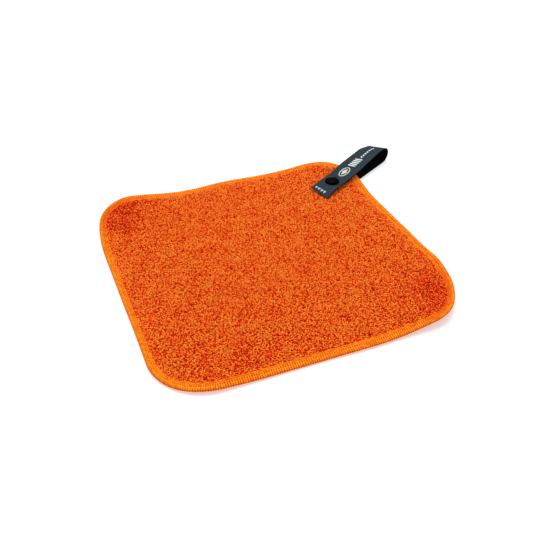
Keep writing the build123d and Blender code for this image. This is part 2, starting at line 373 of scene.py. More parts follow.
def terry_material(name):
    """Terry yarn, mottled over the cloth: painted shade makes it dark red-orange at its root and bright
    orange on top.
    """
    material, tree, shader = new_material(name, roughness=0.9, Specular_IOR_Level=0.06,
                                          Sheen_Weight=0.2, Sheen_Tint=(1.0, 0.30, 0.02, 1))
    tone_and_shade = maths(tree, "MULTIPLY_ADD", attribute(tree, "tone_and_shade"), 0.75, -0.375)
    mottle = maths(tree, "MULTIPLY_ADD", noise(tree, 1450, 1), 2.8, -1.42)
    # painted shade: the ramp runs from dark at a loop's root, deep in the pile, to bright on its top
    level = maths(tree, "ADD", maths(tree, "ADD", attribute(tree, "tip"), tone_and_shade), mottle)
    colour = ramp(tree, level, ((0.05, (0.46, 0.005, 0.003)), (0.42, (0.96, 0.026, 0.006)),
                                (0.72, (1.0, 0.094, 0.011)), (0.98, (1.0, 0.32, 0.034))))
    tree.links.new(colour, shader.inputs["Base Color"])
    bump(tree, shader, noise(tree, 5200, 3), 0.15 * MM, 0.6)
    return material


def ground_material():
    """Ground of the terry: a tight knit, its deep orange darkened with painted shade for the gaps
    between the loops.
    """
    material, tree, shader = new_material("ground_yarn", roughness=0.95, Specular_IOR_Level=0.05)
    colour = ramp(tree, noise(tree, 900, 4), ((0.3, (0.55, 0.014, 0.003)), (0.7, (0.75, 0.040, 0.004))))
    tree.links.new(colour, shader.inputs["Base Color"])
    bump(tree, shader, noise(tree, 2600, 2), 0.2 * MM)
    return material


def thread_material(name, low, high, scale=420):
    """Sewing thread: plied fibres, darkened by painted shade from the mesh, lighter on a thread's top
    than on its flanks.
    """
    material, tree, shader = new_material(name, roughness=0.8, Specular_IOR_Level=0.05)
    level = maths(tree, "SUBTRACT", noise(tree, scale, 3), attribute(tree, "shade"))
    deep = (low[0] * 0.78, low[1] * 0.5, low[2] * 0.5)
    colour = ramp(tree, level, ((0.0, deep), (0.35, low), (0.7, high)))
    tree.links.new(colour, shader.inputs["Base Color"])
    bump(tree, shader, noise(tree, 6000, 3), 0.12 * MM, 0.6)
    return material


RIB_CHECKS = 60              # round the ribbon's section
PICK_CHECKS = 420            # along the whole ribbon
INSIDE_FROM = 0.4805         # share of the way round the section from where the ribbon is black


def webbing_material():
    """Fine ribbon, slate outside and black inside, the black being painted shade for the inside of the
    loop: ribs along it and picks across it, from its UV.

    Its UV runs round the section in X, the outside first, and along the ribbon in Y.
    """
    material, tree, shader = new_material("webbing", roughness=0.85, Specular_IOR_Level=0.04)
    where = tree.nodes.new("ShaderNodeUVMap")
    mapping = tree.nodes.new("ShaderNodeMapping")
    mapping.inputs["Scale"].default_value = (RIB_CHECKS, PICK_CHECKS, 1)
    tree.links.new(where.outputs["UV"], mapping.inputs["Vector"])
    weave = tree.nodes.new("ShaderNodeTexChecker")
    weave.inputs["Scale"].default_value = 1
    tree.links.new(mapping.outputs["Vector"], weave.inputs["Vector"])
    worn = noise(tree, 60, 4, 0.6, "UV", (1, 6, 1))
    level = maths(tree, "MULTIPLY_ADD", weave.outputs["Fac"], 0.22, worn)
    outside = ramp(tree, level, ((0.3, (0.015, 0.026, 0.032)), (0.95, (0.039, 0.061, 0.075))))
    # painted shade: near black inside, for the shade inside the loop
    inside = ramp(tree, level, ((0.3, (0.001, 0.0015, 0.002)), (0.95, (0.005, 0.006, 0.008))))
    parts = tree.nodes.new("ShaderNodeSeparateXYZ")
    tree.links.new(where.outputs["UV"], parts.inputs["Vector"])
    mix = tree.nodes.new("ShaderNodeMix")
    mix.data_type = "RGBA"
    is_inside = maths(tree, "GREATER_THAN", parts.outputs["X"], INSIDE_FROM)
    tree.links.new(is_inside, mix.inputs["Factor"])
    tree.links.new(outside, mix.inputs["A"])
    tree.links.new(inside, mix.inputs["B"])
    tree.links.new(mix.outputs["Result"], shader.inputs["Base Color"])
    bump(tree, shader, weave.outputs["Fac"], 0.08 * MM, 0.6)
    return material


def ink_material(name, low, high):
    """Screen-printed ink, thin in spots."""
    material, tree, shader = new_material(name, roughness=0.6, Specular_IOR_Level=0.2)
    colour = ramp(tree, noise(tree, 2500, 4), ((0.25, low), (0.55, high)))
    tree.links.new(colour, shader.inputs["Base Color"])
    bump(tree, shader, noise(tree, 4000, 2), 0.05 * MM, 0.5)
    return material


def enamel_material():
    """Glossy black enamel with a trace of orange peel and dust."""
    material, tree, shader = new_material("snap_black", roughness=0.28, Specular_IOR_Level=0.018)
    dust = noise(tree, 700, 4)
    colour = ramp(tree, dust, ((0.4, (0.0003, 0.0003, 0.0006)), (0.8, (0.0016, 0.0016, 0.0025))))
    tree.links.new(colour, shader.inputs["Base Color"])
    bump(tree, shader, noise(tree, 500, 2), 0.02 * MM, 0.3)
    return material


def metal_material(name, low, high, roughness):
    """Pressed or drawn metal, slightly uneven in colour."""
    material, tree, shader = new_material(name, roughness=roughness, metallic=1.0)
    colour = ramp(tree, noise(tree, 900, 4), ((0.3, low), (0.7, high)))
    tree.links.new(colour, shader.inputs["Base Color"])
    bump(tree, shader, noise(tree, 1600, 3), 0.02 * MM, 0.4)
    return material


TERRY = terry_material("terry_pile")
GROUND = ground_material()
OVERLOCK = thread_material("overlock_thread", (0.89, 0.17, 0.007), (1.0, 0.40, 0.017))
WEBBING = webbing_material()
TACK = thread_material("tack_thread", (0.012, 0.016, 0.020), (0.035, 0.042, 0.050))
INK = ink_material("print_ink", (0.42, 0.44, 0.46), (0.80, 0.81, 0.80))
BADGE_INK = ink_material("badge_ink", (0.16, 0.17, 0.17), (0.66, 0.64, 0.60))
ENAMEL = enamel_material()
BLACKENED = metal_material("snap_metal", (0.05, 0.05, 0.055), (0.10, 0.10, 0.11), 0.35)
SPRING = metal_material("spring_wire", (0.45, 0.45, 0.46), (0.6, 0.6, 0.6), 0.25)

# ---------------------------------------------------------------- ground cloth

RIM_INSET = 0.55 * MM        # the ground's cut edge, inside the thread that wraps it
RIM_BULGE = 0.35 * MM        # how far the middle of its thickness stands out past its faces
DEEP = 42 * MM               # rings follow the outline in to here, then close on the middle
GROUND_POINTS = 460          # round each ring
OUTER_RINGS = 24
MIDDLE_RINGS = 33


def make_ground():
    """Closed sheet: rings from the middle out over the top face, round the edge and back below."""
    count = GROUND_POINTS
    share = np.arange(count) / count
    shrink = np.linspace(0.02, 1, MIDDLE_RINGS + 1)[:-1]
    insets = np.linspace(DEEP, RIM_INSET, OUTER_RINGS)
    edge_x, edge_y, _, _ = outline(share, DEEP)
    rings = [(edge_x * k, edge_y * k) for k in shrink]
    rings += [outline(share, inset)[:2] for inset in insets]
    middle = (Z_FACE + Z_GROUND) / 2
    bulge = outline(share, RIM_INSET - RIM_BULGE)[:2]
    top = [np.column_stack([x, y, np.full(count, Z_FACE)]) for x, y in rings]
    rim = [np.column_stack([*bulge, np.full(count, middle)])]
    below = [np.column_stack([x, y, np.full(count, Z_GROUND)]) for x, y in rings[::-1]]
    stack = np.array(top + rim + below)
    points = lay(stack.reshape(-1, 3))
    number = np.arange(len(stack) * count).reshape(len(stack), count)
    a, b = number[:-1], number[1:]
    quads = [np.stack([a, b, np.roll(b, -1, 1), np.roll(a, -1, 1)], -1).reshape(-1, 4)]
    for ring, order in ((number[0], 1), (number[-1], -1)):
        for k in range(count // 2 - 1):
            quads.append([[ring[k], ring[k + 1], ring[count - 2 - k], ring[count - 1 - k]][::order]])
    uv = cloth_uv(stack.reshape(-1, 3))
    return add_mesh("ground_sheet", points, np.concatenate(quads), uv, GROUND)


# ---------------------------------------------------------------- terry pile

LOOP_PITCH = 1.45 * MM
LOOP_HALF = (0.42 * MM, 0.80 * MM)      # half of a loop's length, smallest and largest
LOOP_LEAN = 0.22 * MM                   # spread of how far a loop's top leans over
LOOP_SWAY = 0.35 * MM                   # lean that neighbouring loops share
LOOP_TWIST = 0.25 * MM
TONE_SPREAD = 0.36                      # spread of how bright single loops are
PILE_RISE = 1.45 * MM
PILE_ROOT = 0.25 * MM                   # how deep in the ground a loop starts
PILE_INSET = BAND_W + 0.45 * MM
FACE_YARN = 0.42 * MM                   # half thickness of a loop's yarn
BACK_YARN = 0.56 * MM
# Where the band runs narrower, or wider if the depth is below 0: (x, y, spread, depth) in mm
SQUEEZES = (
    (-127, 98, 14, 1.6),
    (-127, 28, 34, 1.9),             # left edge
    (-127, -55, 36, 2.2),
    (98, -122, 19, 1.9),             # before the near right corner
    (127, -26, 22, 1.2),
    (-66, 127, 24, -2.3),            # far edge
)


def strap_coordinates(x, y):
    """Places of the cloth as distances along the strap and across it from its middle."""
    s = x * ALONG.x + y * ALONG.y
    n = x * ACROSS.x + y * ACROSS.y - STRAP_N
    return s, n


# Painted shade on the pile and the threads inside the curls: (x, y, spread, depth)
SHADES = ((108, -99, 20, 0.60), (-104, 104, 20, 0.54), (-72, -110, 20, 0.12))


def shade_at(x, y):
    """How much painted shade the cloth has at places on it."""
    total = np.zeros_like(x)
    for cx, cy, spread, depth in SHADES:
        total += depth * np.exp(-((x - cx * MM) ** 2 + (y - cy * MM) ** 2) / (2 * (spread * MM) ** 2))
    return total


def squeeze_at(x, y):
    """How much narrower the band runs at places along it."""
    total = np.zeros_like(x)
    for cx, cy, spread, depth in SQUEEZES:
        distance = (x - cx * MM) ** 2 + (y - cy * MM) ** 2
        total += depth * MM * np.exp(-distance / (2 * (spread * MM) ** 2))
    return total


def loop_places(pitch, inset, seed):
    """Jittered rows of places inside the band."""
    rng = np.random.default_rng(seed)
    row = np.arange(-HALF, HALF, pitch)
    x, y = np.meshgrid(row, row)
    x[1::2] += pitch / 2
    x = (x + rng.uniform(-0.3, 0.3, x.shape) * pitch).ravel()
    y = (y + rng.uniform(-0.3, 0.3, y.shape) * pitch).ravel()
    keep = edge_distance(x, y) > inset - squeeze_at(x, y)
    return x[keep], y[keep]


def terry_loops(x, y, seed, steps, root, rise, thick):
    """Arched yarn loops: (count, steps, 3) paths, and how far up its loop each point is."""
    rng = np.random.default_rng(seed)
    count = len(x)
    heading = rng.uniform(0, pi, count)
    half = rng.uniform(*LOOP_HALF, count)
    shallow = smoothstep((edge_distance(x, y) - BAND_W) / (6 * MM)) * 0.35 + 0.65
    uneven = 1 + 0.20 * waves(x, y, 7 * MM, seed + 1)
    height = rise * shallow * rng.uniform(0.70, 1.20, count) * uneven
    lean_x = LOOP_SWAY * waves(x, y, 4 * MM, seed + 2) + rng.normal(0, LOOP_LEAN, count)
    lean_y = LOOP_SWAY * waves(x, y, 4 * MM, seed + 3) + rng.normal(0, LOOP_LEAN, count)
    twist = rng.normal(0, LOOP_TWIST, count)
    turn = np.linspace(0, pi, steps)[None, :]
    along = -half[:, None] * np.cos(turn) * (1 + 0.35 * np.sin(turn))
    aside = twist[:, None] * np.sin(2 * turn)
    up = np.sin(turn) ** 0.8
    cx, cy = np.cos(heading)[:, None], np.sin(heading)[:, None]
    paths = np.stack([x[:, None] + along * cx - aside * cy + lean_x[:, None] * up,
                      y[:, None] + along * cy + aside * cx + lean_y[:, None] * up,
                      root + height[:, None] * up], axis=-1)
    width = thick * rng.uniform(0.85, 1.12, count)[:, None] * (0.78 + 0.22 * up)
    return paths, up * np.ones((count, 1)), width


def make_pile(name, x, y, seed, parts, steps, sides, root, rise, thick):
    """The pile of one face, in bands of loops that are each a piece.

    The material reads how far up its loop a point is from "tip", which it turns into painted shade at
    the root, and how bright its loop is from its tone attribute, which also holds the painted shade
    inside the curls.
    """
    paths, tip, width = terry_loops(x, y, seed, steps, root, rise, thick)
    rng = np.random.default_rng(seed + 7)
    patches = 0.08 * waves(x, y, 8 * MM, seed + 8) + 0.10 * waves(x, y, 26 * MM, seed + 9)
    # random tone and patches, less the painted shade inside the curls
    tone_and_shade = 0.5 + rng.normal(0, TONE_SPREAD, len(x)) + patches - shade_at(x, y)
    order = np.argsort(y)
    pieces = []
    for part, chosen in enumerate(np.array_split(order, parts)):
        flat = paths[chosen]
        laid = lay(flat.reshape(-1, 3)).reshape(flat.shape)
        normals = np.zeros_like(laid)
        chord = laid[:, -1] - laid[:, 0]
        normals[:, :, 0] = -chord[:, None, 1]
        normals[:, :, 1] = chord[:, None, 0]
        points, quads = tubes(laid, width[chosen], width[chosen], normals, sides)
        points[:, 2] = np.maximum(points[:, 2], FLOOR_GAP)
        high = np.repeat(tip[chosen].ravel(), sides)
        shade = np.repeat(np.repeat(tone_and_shade[chosen], steps), sides)
        uv = cloth_uv(np.repeat(flat.reshape(-1, 3), sides, axis=0))
        pieces.append(add_mesh(f"{name}_{part + 1}", points, quads, uv, TERRY,
                               {"tip": high, "tone_and_shade": shade}))
    return pieces


STUD_CLEAR = 5.6 * MM        # no pile this near the stud's axis
TACK_S = (109 * MM, 139 * MM)
TACK_LONG = 14.0 * MM
TACK_WIDE = 1.9 * MM
TACK_STROKES = 26
BACK_PITCH = 1.45            # the hidden pile is coarser: its pitch as a share of the face's


def make_face_pile():
    """Pile of the upper face, left out under the stud and the bar tacks."""
    x, y = loop_places(LOOP_PITCH, PILE_INSET, 11)
    keep = np.hypot(x - SNAP_XY.x, y - SNAP_XY.y) > STUD_CLEAR
    s, n = strap_coordinates(x, y)
    for tack_s in TACK_S:
        keep &= (np.abs(s - tack_s) > 1.5 * MM) | (np.abs(n) > TACK_LONG / 2 + 0.7 * MM)
    return make_pile("face_pile_loops", x[keep], y[keep], seed=21, parts=8, steps=7, sides=4,
                     root=Z_FACE - PILE_ROOT, rise=PILE_RISE, thick=FACE_YARN)


def make_back_pile():
    """Pile of the lower face, left out round the strap's sewn end."""
    x, y = loop_places(LOOP_PITCH * BACK_PITCH, PILE_INSET, 12)
    s, n = strap_coordinates(x, y)
    keep = (s < strap_start() - 1 * MM) | (np.abs(n) > STRAP_W / 2 + 0.8 * MM)
    return make_pile("back_pile_loops", x[keep], y[keep], seed=41, parts=3, steps=5, sides=4,
                     root=Z_GROUND + PILE_ROOT, rise=-PILE_RISE, thick=BACK_YARN)


def strap_start():
    """Where the strap's sewn end begins, along the strap: its box's low corner, plus the slant of
    its square end."""
    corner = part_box("strap_sewn_end")[0]
    reach = corner[0] * ALONG.x + corner[1] * ALONG.y
    return reach + STRAP_W * ALONG.x * ALONG.y


# ---------------------------------------------------------------- overlocked edge

STITCHES = int(round(PERIMETER / (1.8 * MM)))
# painted shade round a looper thread's section, lighter on its top and darkest under it: three points
# over it, then three under it
RIB_SHADE = np.array([0.08, -0.14, 0.08, 0.40, 0.40, 0.40])
NEEDLE_INSET = BAND_W - 0.55 * MM
LOCK_INSET = BAND_W * 0.61
THREAD_WIDE = 0.42 * MM      # half width and half height of a looper thread
THREAD_HIGH = 0.34 * MM
THREAD_SIDES = 6


def overlock_path(face_z, away, phase):
    """One looper thread: a zigzag from the needle line over one face to the middle of the edge.

    away is +1 on the upper face and -1 on the lower face. Gives the thread's path, its normals, how
    much slimmer it is at each point and its painted shade.
    """
    middle = (Z_FACE + Z_GROUND) / 2
    half = abs(face_z - middle) + THREAD_HIGH * 0.6
    over = THREAD_HIGH * 0.8
    # one strand, out from the needle line: inset from the outline and height off the middle
    strand = [(BAND_W + 0.75 * MM, half - 0.60 * MM), (BAND_W + 0.45 * MM, half + over * 0.5),
              (BAND_W, half + over * 0.6), (NEEDLE_INSET, half - 0.20 * MM),
              (BAND_W - 1.15 * MM, half + over * 0.7), (LOCK_INSET, half - 0.25 * MM),
              (BAND_W * 0.46, half + over), (BAND_W * 0.30, half + over * 1.1),
              (BAND_W * 0.16, half + over * 0.8), (0.95 * MM, half + over * 0.3),
              (0.48 * MM, half * 0.70), (0.36 * MM, half * 0.12)]
    insets, heights = np.array(strand + strand[::-1]).T
    # where along its stitch each point is: out on one lane and back on the next
    lanes = np.concatenate([np.linspace(0.16, 0.26, len(strand)), np.linspace(0.58, 0.68, len(strand))])
    steps = len(insets)
    share = ((np.arange(STITCHES)[:, None] + lanes + phase) / STITCHES).ravel()
    rng = np.random.default_rng(3 + int(away))
    jitter = rng.normal(0, 0.12, (STITCHES, 1)) * MM
    inset = insets + jitter * (insets > BAND_W * 0.5)
    x, y, nx, ny = outline(share, inset.ravel() * band_share(share))
    z = middle + away * np.tile(heights, STITCHES)
    path = lay(np.column_stack([x, y, z]))
    lean = np.tile(np.clip(1 - insets / (1.2 * MM), 0, 1), STITCHES)
    normals = np.column_stack([nx * lean, ny * lean, away * (1.02 - lean)])
    slim = 0.70 + 0.30 * smoothstep(inset / (0.6 * BAND_W))
    # painted shade inside the curls, on the band's inner side
    shade = 0.65 * shade_at(x, y) * smoothstep(inset.ravel() / BAND_W)
    # painted shade in a dotted line where the loopers lock, on each stitch's outward stroke, and round
    # the rim where they sink
    groove_and_rim_shade = np.where((insets == LOCK_INSET) & (np.arange(steps) < len(strand)), 0.60, 0.0)
    groove_and_rim_shade += np.where(insets < 0.7 * MM, 0.28, 0.0)
    shade += np.tile(groove_and_rim_shade, STITCHES)
    return path[None], normals[None], slim.ravel()[None], shade


def band_share(share):
    """Width of the band at shares of the way round, as a share of its usual width."""
    x, y, _, _ = outline(share, BAND_W)
    return 1 - squeeze_at(x, y) / BAND_W


def thread_mesh(name, path, wide, high, normals, shade, round_shade=0):
    """One closed thread round the edge. shade is its painted shade, for each point of the path."""
    points, quads = tubes(path, wide, high, normals, THREAD_SIDES, closed=True)
    dark = np.repeat(shade, THREAD_SIDES) + round_shade
    return add_mesh(name, points, quads, cloth_uv(points), OVERLOCK, {"shade": dark})


def make_looper(name, face_z, away, phase):
    """A looper thread, with painted shade: darker down its flanks than along its top."""
    path, normals, slim, shade = overlock_path(face_z, away, phase)
    round_shade = np.tile(RIB_SHADE, len(shade))
    return thread_mesh(name, path, THREAD_WIDE * slim, THREAD_HIGH, normals, shade, round_shade)


def make_needle_thread():
    """A row of stitches in the groove near the band's inner side, each dipping in at its ends."""
    dips = np.array([-0.50, 0.10, 0.24, 0.24, 0.10]) * MM
    share = ((np.arange(STITCHES)[:, None] + np.arange(len(dips)) / len(dips)) / STITCHES).ravel()
    x, y, _, _ = outline(share, NEEDLE_INSET * band_share(share))
    z = Z_FACE + 0.30 * MM + np.tile(dips, STITCHES)
    path = lay(np.column_stack([x, y, z]))[None]
    normals = np.zeros_like(path)
    normals[:, :, 2] = 1
    # painted shade: darker all along its groove, and inside the curls
    shade = 0.30 + shade_at(x, y)
    return thread_mesh("edge_needle_stitches", path, 0.30 * MM, 0.22 * MM, normals, shade)


# ---------------------------------------------------------------- strap

KNEE_S = SNAP_S + 10.5 * MM  # the upper leg starts to rise here
KNEE_R = 40 * MM
TAB_DROOP = 15.3             # degrees
TAB_CURL = 4 * MM            # length over which the tab bends down
TAB_LENGTH = TAB_S - 103.2 * MM
STRAP_STEP = 0.8 * MM
SAG_NEAR = 0.08              # share of its height that the fold loses at the ribbon's near edge
SAG_FAR = 0.34               # and at its far edge
SAG_FROM = 182 * MM          # the sag sets in from here on along the strap
TAB_SLANT = 2.8 * MM         # how far the tab's end leans back from one edge to the other


def strap_line():
    """Middle line of the whole ribbon as (s, z) points, from the sewn end round to the tab."""
    def run(a, b):
        count = max(2, int(ceil(hypot(b[0] - a[0], b[1] - a[1]) / STRAP_STEP)))
        return [(a[0] + (b[0] - a[0]) * k / count, a[1] + (b[1] - a[1]) * k / count)
                for k in range(count)]

    def arc(cx, cz, radius, start, end):
        count = max(4, int(ceil(abs(end - start) * radius / (STRAP_STEP * 0.5))))
        turns = [start + (end - start) * k / count for k in range(count)]
        return [(cx + radius * cos(t), cz + radius * sin(t)) for t in turns]

    up, out = LOOP_Z - SNAP_Z, LOOP_S - KNEE_S
    rise = atan2(up, out) + asin(LOOP_R / hypot(up, out))
    touch = (LOOP_S - LOOP_R * sin(rise), LOOP_Z + LOOP_R * cos(rise))
    knee = KNEE_R * np.tan(rise / 2)
    knee_high = (KNEE_S + knee * cos(rise), SNAP_Z + knee * sin(rise))
    line = run((strap_start(), LEG_Z), (LOOP_S, LEG_Z))
    line += arc(LOOP_S, LOOP_Z, LOOP_R, -pi / 2, pi / 2 + rise)
    line += run(touch, knee_high)
    line += arc(KNEE_S - knee, SNAP_Z + KNEE_R, KNEE_R, rise - pi / 2, -pi / 2)
    bend_s = TAB_S + TAB_CURL / 2
    line += run((KNEE_S - knee, SNAP_Z), (bend_s, SNAP_Z))
    droop = radians(TAB_DROOP)
    curl = TAB_CURL / (2 * np.tan(droop / 2))
    line += arc(bend_s, SNAP_Z - curl, curl, pi / 2, pi / 2 + droop)
    start = (bend_s - curl * sin(droop), SNAP_Z - curl + curl * cos(droop))
    left = TAB_LENGTH - TAB_CURL / 2
    end = (start[0] - left * cos(droop), start[1] - left * sin(droop))
    line += run(start, end) + [end]
    return np.array(line)


STRAP_LINE = strap_line()
STRAP_LENGTHS = np.concatenate([[0], np.cumsum(np.hypot(*np.diff(STRAP_LINE, axis=0).T))])
STRAP_TOTAL = STRAP_LENGTHS[-1]


def length_at(s, upper):
    """How far along the ribbon it passes over s, on its lower or its upper run."""
    turn = int(np.argmax(STRAP_LINE[:, 0]))
    part = STRAP_LINE[turn:, 0][::-1] if upper else STRAP_LINE[:turn + 1, 0]
    lengths = STRAP_LENGTHS[turn:][::-1] if upper else STRAP_LENGTHS[:turn + 1]
    return float(np.interp(s, part, lengths))


APEX_L = STRAP_LENGTHS[int(np.argmax(STRAP_LINE[:, 0]))]


def line_at(length):
    """The middle line's s and z at lengths along the ribbon."""
    s = np.interp(length, STRAP_LENGTHS, STRAP_LINE[:, 0])
    z = np.interp(length, STRAP_LENGTHS, STRAP_LINE[:, 1])
    return s, z


# Where the upper run's far edge stands over its middle, or under it: (s, spread, height) in mm
SWAYS = ((152, 14, 0.9), (190, 12, -0.8))
TAB_TWIST = 1.3              # the same at the tab


def strap_twist(length):
    """Height gained by the far edge over the middle, along the ribbon."""
    place, _ = line_at(length)
    top = smoothstep((length - APEX_L) / (6 * MM))
    sway = sum(height * np.exp(-((place - s * MM) / (spread * MM)) ** 2) for s, spread, height in SWAYS)
    tab = TAB_TWIST * smoothstep((TAB_S - 1 * MM - place) / (9 * MM))
    return (sway + tab) * top * MM


def strap_point(length, n, height):
    """Points of the ribbon: a length along it, a distance across it and a height off its middle.

    The height is outward of the loop: upward on the upper run and downward on the lower one. The
    fold sags towards its far edge, and the tab is cut at a slant.
    """
    length = np.asarray(length, float)
    place, z = line_at(length)
    s_ahead, z_ahead = line_at(length + 0.2 * MM)
    s_behind, z_behind = line_at(length - 0.2 * MM)
    ds, dz = s_ahead - s_behind, z_ahead - z_behind
    size = np.hypot(ds, dz)
    far = 0.5 + n / STRAP_W
    tab = smoothstep((SNAP_S - 7 * MM - place) / (9 * MM)) * (length > APEX_L)
    s = place + dz / size * height - (TAB_SLANT * (1 - far) + 0.4 * MM) * tab
    z = z - ds / size * height + strap_twist(length) * n / (STRAP_W / 2)
    sag = SAG_NEAR + (SAG_FAR - SAG_NEAR) * far
    z = z - (z - LEG_Z) * sag * smoothstep((place - SAG_FROM) / (20 * MM))
    across = STRAP_N + n
    return np.stack([s * ALONG.x + across * ACROSS.x, s * ALONG.y + across * ACROSS.y, z], axis=-1)


RIB = 0.70 * MM
RIB_DEPTH = 0.05 * MM
ROUND_POINTS = 6             # round each selvedge


def ribbon_section():
    """Closed outline of the ribbon's section, and how many points one of its faces has.

    It runs over the ribbed outer face, round a thick selvedge, back over the inner face and round
    the other selvedge.
    """
    half = STRAP_W / 2
    across = np.arange(-half + 0.5 * MM, half - 0.45 * MM, RIB / 4)
    face = STRAP_T / 2 - RIB_DEPTH + RIB_DEPTH * np.cos(2 * pi * across / RIB)
    selvedge = smoothstep((np.abs(across) - (half - 1.6 * MM)) / (0.5 * MM)) * 0.06 * MM
    face = face + selvedge - 0.06 * MM
    turn = np.linspace(pi / 2, -pi / 2, ROUND_POINTS + 2)[1:-1]
    round_n = half - 0.5 * MM + 0.5 * MM * np.cos(turn)
    round_h = (STRAP_T / 2 - 0.04 * MM) * np.sin(turn)
    n = np.concatenate([across, round_n, across[::-1], -round_n])
    h = np.concatenate([face, round_h, -face[::-1], -round_h])
    return n, h, len(across)


def make_ribbon(name, start, end):
    """Closed stretch of the ribbon between two lengths along it."""
    n, h, faces = ribbon_section()
    sides = len(n)
    inside = STRAP_LENGTHS[(STRAP_LENGTHS > start + 0.2 * MM) & (STRAP_LENGTHS < end - 0.2 * MM)]
    lengths = np.concatenate([[start], inside, [end]])
    points = strap_point(np.repeat(lengths, sides), np.tile(n, len(lengths)), np.tile(h, len(lengths)))
    number = np.arange(len(lengths) * sides).reshape(len(lengths), sides)
    a, b = number[:-1], number[1:]
    quads = [np.stack([a, np.roll(a, -1, 1), np.roll(b, -1, 1), b], -1).reshape(-1, 4)]
    for ring, order in ((number[0], -1), (number[-1], 1)):
        top, right, low, left = np.split(ring, [faces, faces + ROUND_POINTS, 2 * faces + ROUND_POINTS])
        low = low[::-1]
        cap = np.stack([top[:-1], low[:-1], low[1:], top[1:]], -1)
        quads.append(cap[:, ::order])
        for arc, first, last in ((right, top[-1], low[-1]), (left, low[0], top[0])):
            loop = [first, *arc, last]
            for k in range(len(loop) // 2):
                corners = [loop[k], loop[k + 1], loop[-2 - k], loop[-1 - k]]
                quads.append(np.array([corners])[:, ::order])
    uv = np.column_stack([np.tile(np.linspace(0, 1, sides), len(lengths)),
                          np.repeat(lengths / STRAP_TOTAL, sides)])
    obj = add_mesh(name, points, np.concatenate(quads), uv, WEBBING)
    mark_caps_flat(obj, len(quads[0]))
    return obj


def mark_caps_flat(obj, smooth_count):
    """Ends of the ribbon are cut square, so their faces and edges are sharp."""
    flags = np.arange(len(obj.data.polygons)) < smooth_count
    obj.data.polygons.foreach_set("use_smooth", flags)
    caps = [p for p in obj.data.polygons if p.index >= smooth_count]
    corners = set(v for p in caps for v in p.vertices)
    sharp = obj.data.attributes.new("sharp_edge", "BOOLEAN", "EDGE")
    values = [e.vertices[0] in corners and e.vertices[1] in corners for e in obj.data.edges]
    sharp.data.foreach_set("value", values)


def strap_spot(s, z):
    """A point on the strap's centre line."""
    return Vector((s * ALONG.x + STRAP_N * ACROSS.x, s * ALONG.y + STRAP_N * ACROSS.y, z))


def fold_zone(start_length, end_length):
    """Start and end of a zone over part of the fold, square to the sagging line of its apex."""
    def spot(length, n=0.0):
        return Vector(strap_point(length, n, 0.0))

    apex = (spot(APEX_L, STRAP_W / 2) - spot(APEX_L, -STRAP_W / 2)).normalized()
    way = spot(end_length) - spot(start_length)
    return spot(start_length), spot(start_length) + way - apex * way.dot(apex)


# ---------------------------------------------------------------- print


def plate(name, shapes, length_from, ink=INK, thick=0.10 * MM):
    """Thin raised ink on the ribbon's outer face. A shape is rows of (s, n) across each other."""
    all_points, all_quads, at = [], [], 0
    for left, right in shapes:
        left, right = np.array(left, float), np.array(right, float)
        rows = len(left)
        flat = np.stack([left, right], axis=1).reshape(-1, 2)
        lengths = length_from(flat[:, 0])
        surface = STRAP_T / 2 - 0.03 * MM
        top = strap_point(lengths, flat[:, 1], np.full(len(flat), surface + thick))
        low = strap_point(lengths, flat[:, 1], np.full(len(flat), surface - 0.04 * MM))
        all_points.append(np.concatenate([top, low]))
        t = at + np.arange(rows * 2).reshape(rows, 2)
        b = t + rows * 2
        quads = [[t[k, 0], t[k + 1, 0], t[k + 1, 1], t[k, 1]] for k in range(rows - 1)]
        quads += [[b[k, 1], b[k + 1, 1], b[k + 1, 0], b[k, 0]] for k in range(rows - 1)]
        quads += [[b[k, 0], b[k + 1, 0], t[k + 1, 0], t[k, 0]] for k in range(rows - 1)]
        quads += [[t[k, 1], t[k + 1, 1], b[k + 1, 1], b[k, 1]] for k in range(rows - 1)]
        quads += [[t[0, 0], t[0, 1], b[0, 1], b[0, 0]], [b[-1, 0], b[-1, 1], t[-1, 1], t[-1, 0]]]
        all_quads.append(np.array(quads))
        at += rows * 4
    points = np.concatenate(all_points)
    obj = add_mesh(name, points, np.concatenate(all_quads), box_uv(points), ink)
    obj.data.polygons.foreach_set("use_smooth", np.zeros(len(obj.data.polygons), bool))
    return obj


def upper_length(s):
    """Lengths along the ribbon of places on its upper run."""
    return np.array([length_at(value, True) for value in np.atleast_1d(s)])


def make_badge():
    """Plain oval ring with a lozenge in it."""
    middle, long_r, wide_r, line = 142.5 * MM, 8.0 * MM, 4.0 * MM, 1.0 * MM
    turns = np.linspace(0, 2 * pi, 49)
    outer = [(middle + long_r * cos(t), wide_r * sin(t)) for t in turns]
    inner = [(middle + (long_r - line) * cos(t), (wide_r - line) * sin(t)) for t in turns]
    steps = np.linspace(-1, 1, 15)
    upper = [(middle + 5.6 * MM * k, 2.3 * MM * (1 - abs(k)) + 0.01 * MM) for k in steps]
    lower = [(s, -n) for s, n in upper]
    return plate("strap_print_badge", [(inner, outer), (upper, lower)], upper_length, BADGE_INK)


def make_bars():
    """Slanted bars, then a row of dashes."""
    shapes = []
    along, aside = cos(radians(20)), sin(radians(20))
    rows = np.linspace(-3.5, 3.5, 6) * MM
    for i in range(5):
        middle = (155 + 3 * i) * MM
        shapes.append([[(middle + half * along - k * aside, k * along + half * aside) for k in rows]
                       for half in (0.75 * MM, -0.75 * MM)])
    for i in range(7):
        middle = (172 + 3.5 * i) * MM
        shapes.append([[(middle + half, k) for k in (-0.8 * MM, 0.8 * MM)]
                       for half in (0.95 * MM, -0.95 * MM)])
    return plate("strap_print_bars", shapes, upper_length)


